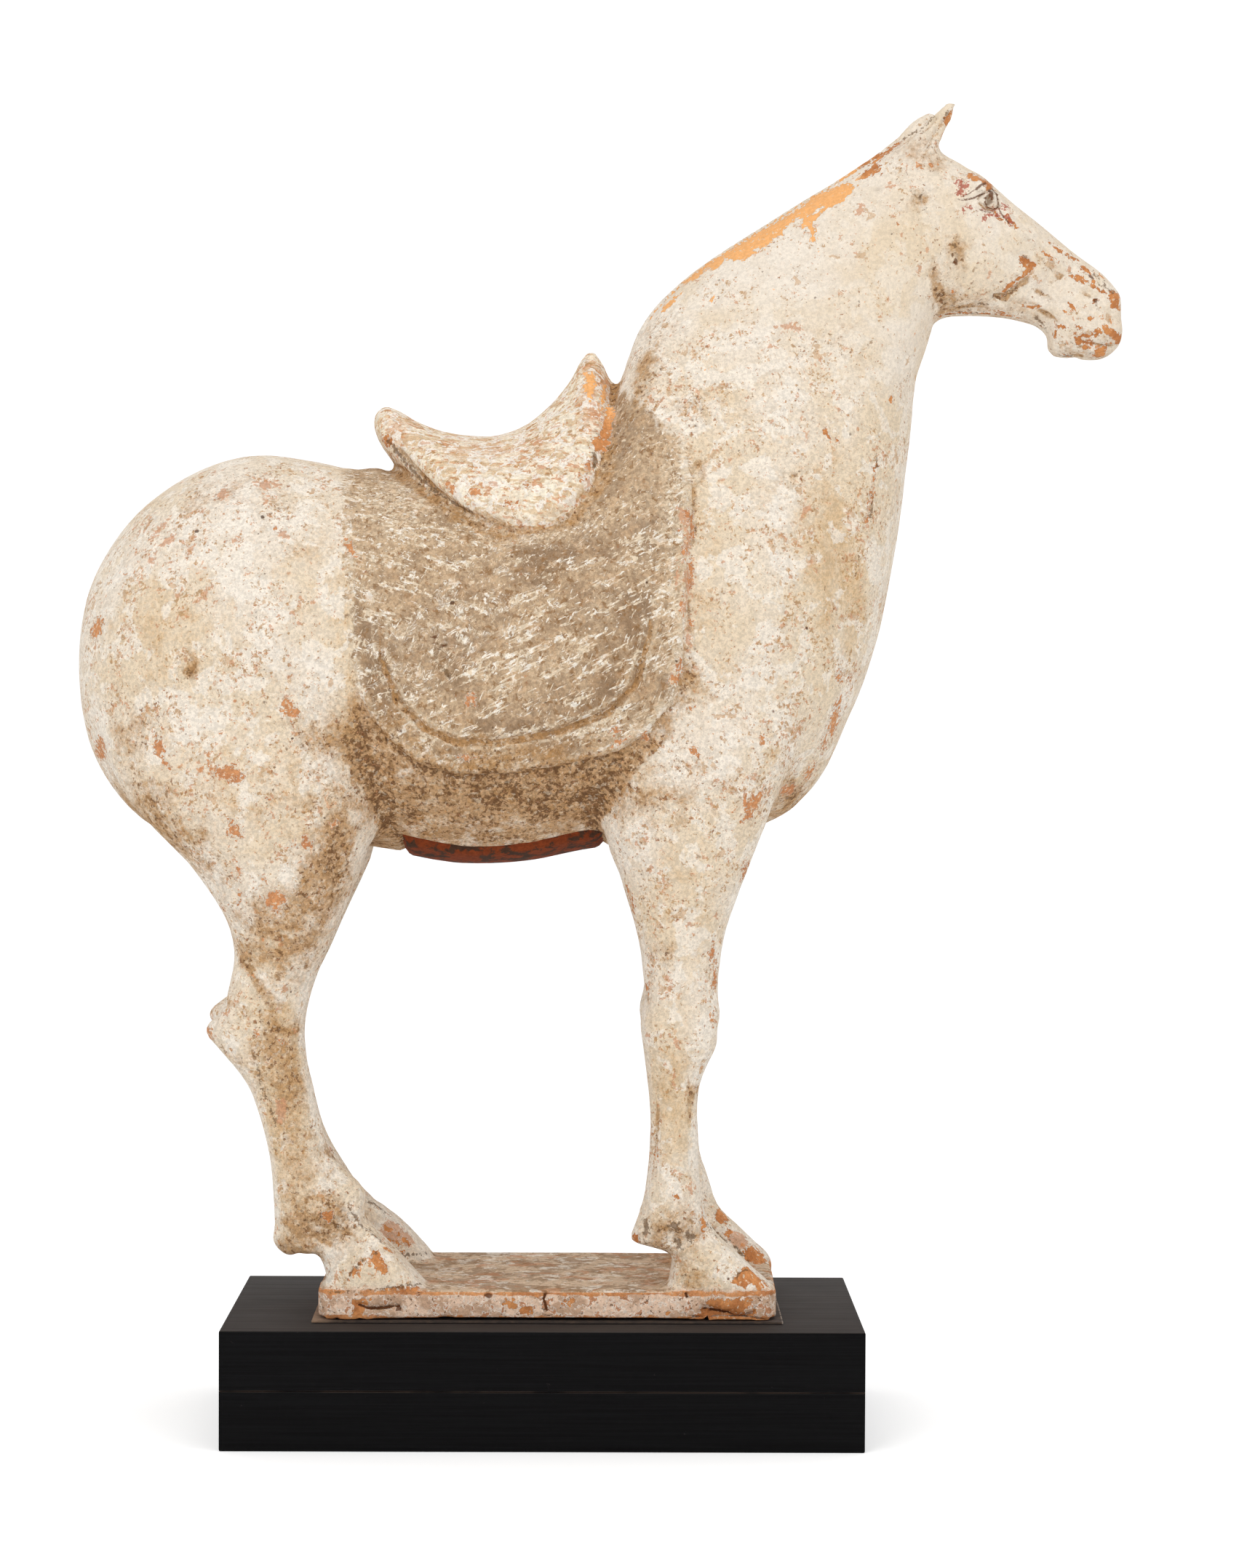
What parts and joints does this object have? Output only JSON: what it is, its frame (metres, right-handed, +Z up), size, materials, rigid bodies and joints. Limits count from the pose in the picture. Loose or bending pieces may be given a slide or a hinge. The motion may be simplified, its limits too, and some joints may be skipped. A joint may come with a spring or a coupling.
{
  "type": "earthenware horse figure",
  "caption": "Standing saddled horse figure of painted earthenware on a clay slab, mounted on a low black wooden plinth.",
  "frame": {"origin": "centre of the plinth's underside", "axes": "+X toward the horse's head, +Y toward the horse's left side, +Z up"},
  "size_m": [0.369, 0.1241, 0.4686],
  "materials": {
    "painted_clay": "matt cream slip worn through to orange clay",
    "brown_pad": "matt felt-like pad",
    "black_wood": "satin black stain"
  },
  "bodies": {
    "root": {"earthenware_horse": "painted_clay", "mounting_pad": "brown_pad", "plinth_upper_board": "black_wood", "plinth_lower_board": "black_wood"}
  },
  "joints": []
}
